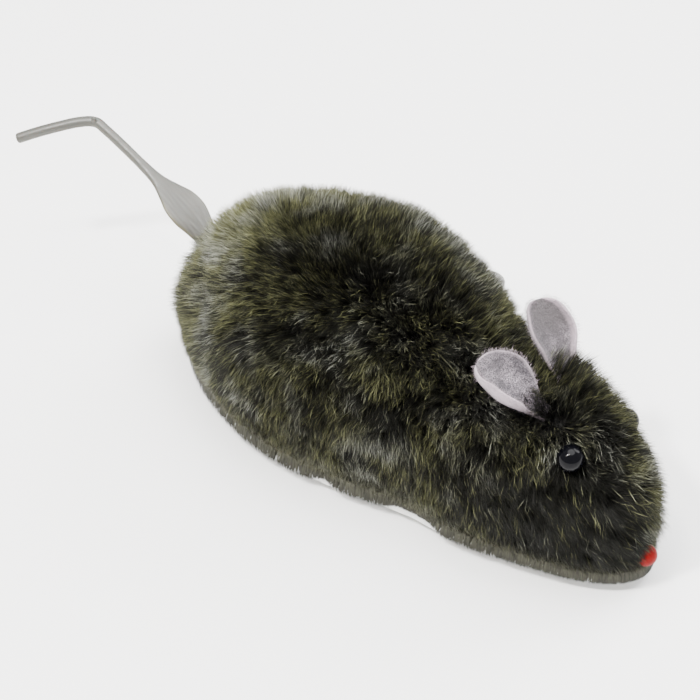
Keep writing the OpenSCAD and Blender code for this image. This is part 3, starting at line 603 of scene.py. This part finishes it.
def grow_pile(clumps, each):
    """Strands in clumps. A strand rises from the backing, bows over along the nap and closes on
    the tip of its clump. One in twenty is a longer, paler guard hair."""
    clump_a, clump_phi = scatter(clumps)
    centre, _, _, (round_length, down_length), out = skin_axes(clump_a, clump_phi, 0)
    flow = nap(centre, out)
    upright = smoothstep(10, 34, centre[:, 2]) * (1 - 0.55 * smoothstep(12, 36, centre[:, 0]))
    lean = 0.62 - 0.34 * upright + 0.2 * ripple(centre, 8, 21) + random.normal(0, 0.12, clumps)
    tall = 1.02 + 0.08 * ripple(centre, 6, 22) + random.normal(0, 0.07, clumps)
    tall += 0.13 * smoothstep(28, 42, centre[:, 2])
    # the share carries painted highlight over the rump and far side and painted shade on the cheeks
    share = pale_share_with_painted_light(centre) + random.normal(0, 0.08, clumps)

    of = np.repeat(np.arange(clumps), each)
    count = len(of)
    spread = random.normal(0, 0.72, (2, count))
    a = clump_a[of] + spread[0] / np.maximum(round_length[of], 0.05)
    phi = clump_phi[of] + spread[1] / np.maximum(down_length[of], 0.05)
    a = np.where(phi < 0, -a, a)
    phi = abs(phi).clip(0.1, HEM_ANGLE - 0.3)
    guard = random.uniform(0, 1, count) < 0.008 + 0.06 * share[of].clip(0, 1)
    root_depth = ROOT_DEPTH * coat_depth(phi)
    root, _, _, _, up = skin_axes(a, phi, root_depth)
    way = unit(flow[of] + random.normal(0, 0.34, (count, 3)))
    way = unit(way - up * (way * up).sum(-1, keepdims=True))

    level = tall[of] * random.uniform(0.82, 1.1, count) + 0.1 * guard
    height = root_depth * level.clip(0.3, 1.27) + ear_tuft(centre)[of]
    bow = root_depth * lean[of].clip(0.08, 1.0) * random.uniform(0.5, 1.35, count)
    gather = (centre[of] + flow[of] * (bow * 0.9)[:, None]) - root
    gather -= up * (gather * up).sum(-1, keepdims=True) + way * bow[:, None]
    pull = random.uniform(0.1, 0.7, count) * ~guard

    t = STRAND_STEPS[None, :, None]
    lines = (root[:, None] + up[:, None] * height[:, None, None] * (1.22 * t - 0.22 * t**2)
             + way[:, None] * bow[:, None, None] * t**1.7
             + gather[:, None] * pull[:, None, None] * t**1.5)
    lines += random.normal(0, 0.12, lines.shape) * t
    keep = clear_of_parts(lines)
    lines, of, phi, up, guard = lines[keep], of[keep], phi[keep], up[keep], guard[keep]

    count = len(lines)
    facing = unit(up + random.normal(0, 0.45, (count, 3)))
    widths = random.uniform(0.10, 0.17, count) + 0.05 * guard
    frosted = (random.uniform(0, 1, count) < share[of].clip(0.02, 0.92)) | guard
    frost = random.uniform(0.4, 1.0, count)
    shadow = random.uniform(0, 0.5, count) * share[of].clip(0.02, 0.35)
    hem = 0.85 * smoothstep(101, 117, phi + random.normal(0, 4, count))
    tone = tones(np.where(frosted, frost, shadow), hem, hem)
    return ribbons(lines, widths, facing), tone, lines[:, 0, 0]


def tones(pale, hem_root, hem_tip):
    """Point colours of strands: how far towards the tip's colour, how pale, how much hem."""
    reach = np.append(np.repeat(STRAND_STEPS[:3], 2), STRAND_STEPS[3])
    strand = np.ones((len(pale), STRAND_POINTS, 4))
    strand[..., 0] = reach**2
    strand[..., 1] = pale[:, None]
    strand[..., 2] = hem_root[:, None] + (hem_tip - hem_root)[:, None] * reach**3
    return strand


def grow_fringe(count):
    """Short strands that hang from the hem over the pan's edge and turn dark at their tips. They
    are cut short along two stretches, where the pan shows."""
    a = random.uniform(0, 360, count)
    root, _, _, _, out = skin_axes(a, random.uniform(114, 119.4, count), 0.35)
    bare = smoothstep(3.5, 0, abs(a - 84)) + smoothstep(8, 3, abs(a - 104))
    flat = unit(out * [1, 1, 0])
    drop = np.maximum(root[:, 2] - random.uniform(0.1, 0.6, count), 0.4)
    drop *= 1 - 0.7 * bare.clip(0, 1)
    sway = unit(np.cross(flat, [0, 0, 1.0])) * random.normal(0, 0.35, (count, 1))
    t = STRAND_STEPS[None, :, None]
    lines = (root[:, None] + flat[:, None] * (0.5 * np.sin(2.2 * t))
             + sway[:, None] * t - np.array([0, 0, 1.0]) * drop[:, None, None] * t)
    points = ribbons(lines, random.uniform(0.16, 0.26, count), flat)
    none = np.zeros(count)
    return points, tones(none, random.uniform(0.15, 0.7, count), none)


PILE_ZONES = ("rump", "haunch", "back", "loin", "waist", "shoulder", "crown", "muzzle")


def make_coat():
    """Backing and pile: the pile is cut into zones along the body, each a piece of its own."""
    points, faces, area = coat_backing()
    backing = piece("coat_backing", points, faces, "base", backing_finish())
    merge_close(backing)
    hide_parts("fur_coat")
    material = pile_finish()
    strands, strand, root_x = grow_pile(CLUMPS, STRANDS_EACH)
    edges = np.quantile(root_x, np.linspace(0, 1, len(PILE_ZONES) + 1))
    zone_of = np.searchsorted(edges[1:-1], root_x, side="right")
    for k, zone in enumerate(PILE_ZONES):
        inside = zone_of == k
        piece("pile_" + zone, strands[inside], [strand_faces(inside.sum())], "base",
                            material, {"strand": strand[inside]})
    strands, strand = grow_fringe(FRINGE_STRANDS)
    piece("pile_hem", strands, [strand_faces(len(strands))], "base",
                        material, {"strand": strand})


# ---------------------------------------------------------------- ears

def ear_half(t):
    """Half width of an ear at the share t of its length: narrow at the foot, round at the tip."""
    rise = 0.3 + 0.76 * smoothstep(0, 0.6, t)
    close = np.sqrt(np.clip(1 - (np.clip(t - 0.58, 0, 1) / 0.42)**2, 0, 1))
    return EAR_WIDTH / 2 * rise * close


def ear_sheet(side):
    """A cupped leaf of felt. Across it the slope grows from the middle to both edges, and the
    outer edge rolls over into a lip; the profile is the running sum of that slope's cosine and
    sine. The two faces meet in a rounded rim."""
    rows, cols = 46, 41
    t = 1 - (1 - np.linspace(0, 1, rows))**1.5
    s = np.linspace(-1, 1, cols)
    outer = -side
    lip = smoothstep(0.45, 1.0, s * outer)
    slope = 0.62 * s + np.sign(s) * (0.55 * abs(s)**3) + np.sign(s) * 1.15 * lip
    firm = smoothstep(0.1, 0.4, t)[:, None] * (1 - 0.55 * smoothstep(0.75, 1.0, t)[:, None])
    slope = slope[None, :] * (0.35 + 0.65 * firm)
    step = 2 / (cols - 1)
    middle = cols // 2
    x = np.cumsum(np.cos(slope), 1) * step
    y = np.cumsum(np.sin(slope), 1) * step
    x -= x[:, middle:middle + 1]
    y -= y[:, middle:middle + 1]
    half = ear_half(t)[:, None]
    wave = 0.25 * np.sin(5.5 * t)[:, None] * (s**2)[None]
    mid = np.stack([half * x, half * y + 1.3 * t[:, None]**2 + wave + FELT / 2,
                    EAR_LENGTH * t[:, None] * np.ones(cols)], -1)
    normal = unit(np.cross(np.gradient(mid, axis=1), np.gradient(mid, axis=0)))
    normal[-1] = normal[-2]
    thick = FELT / 2 * np.sqrt(np.clip(1 - abs(s)**10, 0, 1))[None, :, None]
    thick = thick * np.sqrt(np.clip(1 - t**24, 0, 1))[:, None, None]
    foot, across, face, along = ear_axes(side)

    def placed(local):
        return foot + local[..., :1] * across + local[..., 1:2] * face + local[..., 2:] * along

    front, back = placed(mid - normal * thick), placed(mid + normal * thick)
    rim = smoothstep(0.62, 0.9, s * outer)[None, :] * smoothstep(0.1, 0.35, t)[:, None]
    rim = np.maximum(rim, 0.75 * smoothstep(0.9, 1.0, abs(s))[None, :] * np.ones((rows, 1)))
    # Painted shade: the second felt channel darkens the top middle of the cup a little on the near
    # ear (side -1), and darkens the far ear (side 1) all over and more at its top.
    painted_shade = 0.75 * smoothstep(0.45, 0.8, t)[:, None] * (1 - smoothstep(0.5, 1, abs(s)))[None, :]
    painted_shade = (0.5 + 0.6 * painted_shade if side > 0 else 0.3 * painted_shade) * np.ones((rows, cols))
    felt = np.ones((2, rows, cols, 4))
    felt[..., 0], felt[..., 1] = rim, painted_shade
    return front, back, felt, placed(mid), normal @ np.stack([across, face, along])


def make_ear(name, side, material):
    """One felt ear with loose fibres standing on its faces and rim. Its two faces and the strip at
    its foot are turned so that they look outwards, as found at a point in its middle."""
    front, back, felt, mid, normal = ear_sheet(side)
    rows, cols = front.shape[:2]
    count = rows * cols
    face = grid_faces(rows, cols)
    turned = face[:, ::-1]
    foot_edge = np.arange(cols)
    foot_face = np.stack([foot_edge[:-1], foot_edge[1:], foot_edge[1:] + count,
                          foot_edge[:-1] + count], 1)
    points = np.concatenate([front.reshape(-1, 3), back.reshape(-1, 3)])
    i, j = 5, cols // 2
    outward = np.cross(front[i, j + 1] - front[i, j], front[i + 1, j] - front[i, j])
    if outward @ (front[i, j] - back[i, j]) > 0:
        faces = [face, turned + count, foot_face[:, ::-1]]
    else:
        faces = [turned, face + count, foot_face]
    sheet = piece(name + "_felt", points, faces, "base", material, {"felt": felt})
    merge_close(sheet)
    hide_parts(name)
    fuzz = make_fuzz(name + "_fuzz", mid, normal, material, felt[0])


MERGE = 0.004
FUZZ_STRANDS = 2600


def merge_close(shape):
    """Joins points that meet along a rim, so that the piece is closed."""
    work = bmesh.new()
    work.from_mesh(shape.data)
    bmesh.ops.remove_doubles(work, verts=work.verts, dist=MERGE * MM)
    bmesh.ops.recalc_face_normals(work, faces=work.faces)
    work.to_mesh(shape.data)
    work.free()


def make_fuzz(name, mid, normal, material, felt):
    """Short fibres rooted anywhere on the sheet, more of them at its edges."""
    rows, cols = mid.shape[:2]
    count = FUZZ_STRANDS
    s = random.uniform(-1, 1, count)
    s = np.where(random.uniform(0, 1, count) < 0.45, np.sign(s) * (1 - 0.06 * abs(s)), s)
    i = (random.uniform(0.2, 0.985, count) * (rows - 1)).astype(int)
    j = ((s + 1) / 2 * (cols - 1)).round().astype(int).clip(0, cols - 1)
    flip = np.where(random.uniform(0, 1, count) < 0.5, 1.0, -1.0)[:, None]
    out = normal[i, j] * flip
    edge_way = unit(mid[i, j] - mid[i, cols // 2])
    way = unit(out * 0.5 + edge_way * (abs(s) > 0.93)[:, None] * 1.1
               + random.normal(0, 0.45, (count, 3)))
    root = mid[i, j] + out * FELT * 0.42 + random.normal(0, 0.12, (count, 3))
    length = random.uniform(0.25, 0.75, count)
    t = STRAND_STEPS[None, :, None]
    droop = random.normal(0, 0.35, (count, 1, 3)) * t**2
    lines = root[:, None] + (way[:, None] * t + droop) * length[:, None, None]
    points = ribbons(lines, random.uniform(0.035, 0.06, count), out)
    tone = np.repeat(felt[i, j], STRAND_POINTS, axis=0)
    tone[:, 0] = np.maximum(tone[:, 0], 0.35)
    return piece(name, points, [strand_faces(count)], "base", material, {"felt": tone})


# ---------------------------------------------------------------- beads and tail

def bead_profile(radius, pin_length):
    """A pin that widens into a ball: distance along the axis, and radius."""
    start = math.asin(PIN_RADIUS / radius)
    pin = [(-pin_length, 0), (-pin_length, PIN_RADIUS * 0.8), (-pin_length + 0.2, PIN_RADIUS)]
    ball = [(-radius * math.cos(g), radius * math.sin(g))
            for g in np.linspace(start, math.pi, 34)[:-1]]
    return pin + ball + [(radius, 0)]


def make_bead(name, centre, way, radius, pin_length, material):
    """A bead on its pin, turned round the way it faces, in place of its CAD node."""
    points, faces = lathe(bead_profile(radius, pin_length), centre, way)
    bead = piece(name + "_bead", points, faces, "base", material)
    merge_close(bead)
    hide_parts(name)


TAIL_ROUTE = [[0, 0, 0, 2.6, 1.3], [-3.2, 0, 2.9, 2.6, 1.2], [-7, 0, 6.3, 2.5, 1.1],
              [-10.4, 0, 9.4, 2.7, 1], [-13.2, 0, 12, 3.6, 0.8], [-16, 0, 14.1, 4.5, 0.75],
              [-19, 0, 15.8, 4.3, 0.75], [-22, 0, 17.2, 3, 0.85], [-25.5, 0, 18.7, 1.6, 1],
              [-30, 0, 20.6, 1.15, 1.05], [-35, 0, 22.7, 1.1, 1.1], [-40, -0.1, 24.7, 1.1, 1.1],
              [-42.8, -0.4, 25.6, 1.15, 1.15], [-45.6, -2.4, 25.4, 1.15, 1.15],
              [-48.9, -5.6, 24.4, 1.15, 1.15], [-52.2, -8.8, 23.1, 1.15, 1.15],
              [-55.4, -12, 21.6, 1.15, 1.15]]
LEAF_FLAT = np.array([0.434, 0, 0.9])
KINK = 12
BOSS_RADIUS, BOSS_CHAMFER = 2.0, 0.3


def make_tail():
    """An oval carried along the tail's route, flat and wide over the leaf and round beyond it,
    with fine ribs along the leaf, a nub at the kink and a rounded tip."""
    route = np.array(TAIL_ROUTE, float)
    knots = np.arange(len(route))
    rows, cols = 260, 48
    u = np.linspace(0, len(route) - 1, rows)
    path = through(np.column_stack([knots, route]), u)
    centre = TAIL_PIVOT + path[:, :3]
    along = unit(np.gradient(centre, axis=0))
    across = unit(np.cross(LEAF_FLAT, along))
    up = np.cross(along, across)
    tip = np.sqrt(np.clip(1 - (np.clip(u - (u[-1] - 0.28), 0, 1) / 0.28)**2, 0, 1))
    root = np.sqrt(np.clip(u / 0.4, 0, 1))
    close = (tip * root)[:, None]
    g = np.linspace(0, 2 * np.pi, cols, endpoint=False)[None]
    wide, thick = path[:, 3:4] * close, path[:, 4:5] * close
    leaf = smoothstep(2.2, 4.2, path[:, 3:4])
    x = wide * np.cos(g)
    rib = 0.05 * leaf * np.cos(x * 9.5) * abs(np.sin(g))
    z = (thick + rib) * np.sign(np.sin(g)) * abs(np.sin(g))**(1 - 0.35 * leaf)
    nub = 0.75 * np.exp(-((u[:, None] - KINK) / 0.12)**2) * np.exp(-((g - 1.35) / 0.42)**2)
    points = (centre[:, None] + across[:, None] * (x + nub * np.cos(g))[..., None]
              + up[:, None] * (z + nub * np.sin(g))[..., None])
    edge = smoothstep(0.86, 0.99, abs(np.cos(g))) * np.ones((rows, 1)) * (0.25 + 0.55 * leaf)
    streak = 0.5 + 0.5 * np.sin(x * 6.1 + 1.3 * np.sin(u[:, None] * 0.9)) * (0.35 + 0.65 * leaf)
    vinyl = np.ones((rows, cols, 4))
    vinyl[..., 0], vinyl[..., 1] = edge, streak
    faces = grid_faces(rows, cols, True)
    boss, boss_faces = boss_points(box_mm("tail")[1][1])
    count = rows * cols
    points = np.concatenate([points.reshape(-1, 3), boss])
    vinyl = np.concatenate([vinyl.reshape(-1, 4), np.ones((len(boss), 4)) * [0, 0.5, 0, 1]])
    shape = piece("tail_vinyl", points, [faces] + [f + count for f in boss_faces], "tail",
                  vinyl_finish(), {"vinyl": vinyl})
    merge_close(shape)
    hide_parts("tail")


def boss_points(half):
    """The round boss that the tail turns on, with chamfered ends."""
    face = BOSS_RADIUS - BOSS_CHAMFER
    inset = half - BOSS_CHAMFER
    profile = [(-half, 0), (-half, face), (-inset, BOSS_RADIUS), (inset, BOSS_RADIUS),
               (half, face), (half, 0)]
    return lathe(profile, TAIL_PIVOT, np.array([0, 1.0, 0]), 40)


# ---------------------------------------------------------------- studio

CAMERA_TURN, CAMERA_LIFT, CAMERA_DISTANCE = 40.5, 42.0, 0.6
LOOK_AT = np.array([-0.0150, -0.0026, 0.0180])
SENSOR, FOCAL_SHARE = 36, 2900 / 700
FLOOR_HALF = 4.0


def view_axes(turn, lift):
    """Ways back to the camera, to its right and up, for a turn round the object and a lift."""
    t, e = math.radians(turn), math.radians(lift)
    back = np.array([math.sin(t) * math.cos(e), -math.cos(t) * math.cos(e), math.sin(e)])
    right = np.array([math.cos(t), math.sin(t), 0])
    return back, right, np.cross(back, right)


def aim(thing, place, at):
    """Puts a light or camera at a place and points it at another."""
    thing.location = Vector(place)
    thing.rotation_euler = (Vector(place) - Vector(at)).to_track_quat("Z", "Y").to_euler()


def add_light(name, place, size, power, color=(1, 1, 1)):
    """A round soft light at a place in metres, pointed at the middle of the view."""
    data = bpy.data.lights.new(name, "AREA")
    data.shape = "DISK"
    data.size = size
    data.energy = power
    data.color = color
    lamp = bpy.data.objects.new(name, data)
    bpy.context.scene.collection.objects.link(lamp)
    aim(lamp, place, LOOK_AT)


def make_studio():
    """Camera, pale floor and soft lights."""
    back, right, up = view_axes(CAMERA_TURN, CAMERA_LIFT)
    data = bpy.data.cameras.new("camera")
    data.sensor_width = SENSOR
    data.lens = SENSOR * FOCAL_SHARE
    data.clip_start = 0.01
    camera = bpy.data.objects.new("camera", data)
    bpy.context.scene.collection.objects.link(camera)
    aim(camera, LOOK_AT + back * CAMERA_DISTANCE, LOOK_AT)
    bpy.context.scene.camera = camera

    mesh = bpy.data.meshes.new("floor")
    corners = [(x * FLOOR_HALF, y * FLOOR_HALF, FLOOR_Z * MM)
               for x, y in ((-1, -1), (1, -1), (1, 1), (-1, 1))]
    mesh.from_pydata(corners, [], [(0, 1, 2, 3)])
    floor = bpy.data.objects.new("floor", mesh)
    bpy.context.scene.collection.objects.link(floor)
    paper = Finish("floor paper", (0.93, 0.93, 0.93), 0.9)
    paper.color(paper.blend(paper.noise(400), (0.92, 0.92, 0.92), (0.94, 0.94, 0.94)))
    mesh.materials.append(paper.material)

    add_light("key", LOOK_AT + 0.62 * back - 0.30 * right + 0.34 * up, 0.08, 9.0)
    warm = (1, 0.93, 0.8)
    add_light("warm left", LOOK_AT + 0.62 * back - 0.46 * right + 0.28 * up, 0.07, 2.0, warm)
    add_light("warm right", LOOK_AT + 0.62 * back - 0.14 * right + 0.36 * up, 0.07, 2.0, warm)
    add_light("sky", np.array([0.0, 0.1, 0.9]), 0.9, 20.0)
    add_light("far edge", LOOK_AT - 0.5 * back + 0.5 * right + np.array([0, 0, 0.75]), 0.5, 7.0)

    world = bpy.data.worlds.new("studio")
    world.use_nodes = True
    world.node_tree.nodes["Background"].inputs["Color"].default_value = (1, 1, 1, 1)
    world.node_tree.nodes["Background"].inputs["Strength"].default_value = 1.1
    bpy.context.scene.world = world


make_studio()
dress_frame()
make_coat()
felt = felt_finish()
make_ear("ear_left", 1, felt)
make_ear("ear_right", -1, felt)
black = bead_finish("black bead", (0.0015, 0.0015, 0.0025), 0.08)
for eye, side in (("eye_left", 1), ("eye_right", -1)):
    place, out = eye_place(side)
    make_bead(eye, place, out, EYE_RADIUS, EYE_PIN, black)
red = bead_finish("red bead", (0.20, 0.004, 0.003), 0.5)
make_bead("nose", NOSE_CENTRE, np.array([1.0, 0, 0]), NOSE_RADIUS, NOSE_PIN, red)
make_tail()
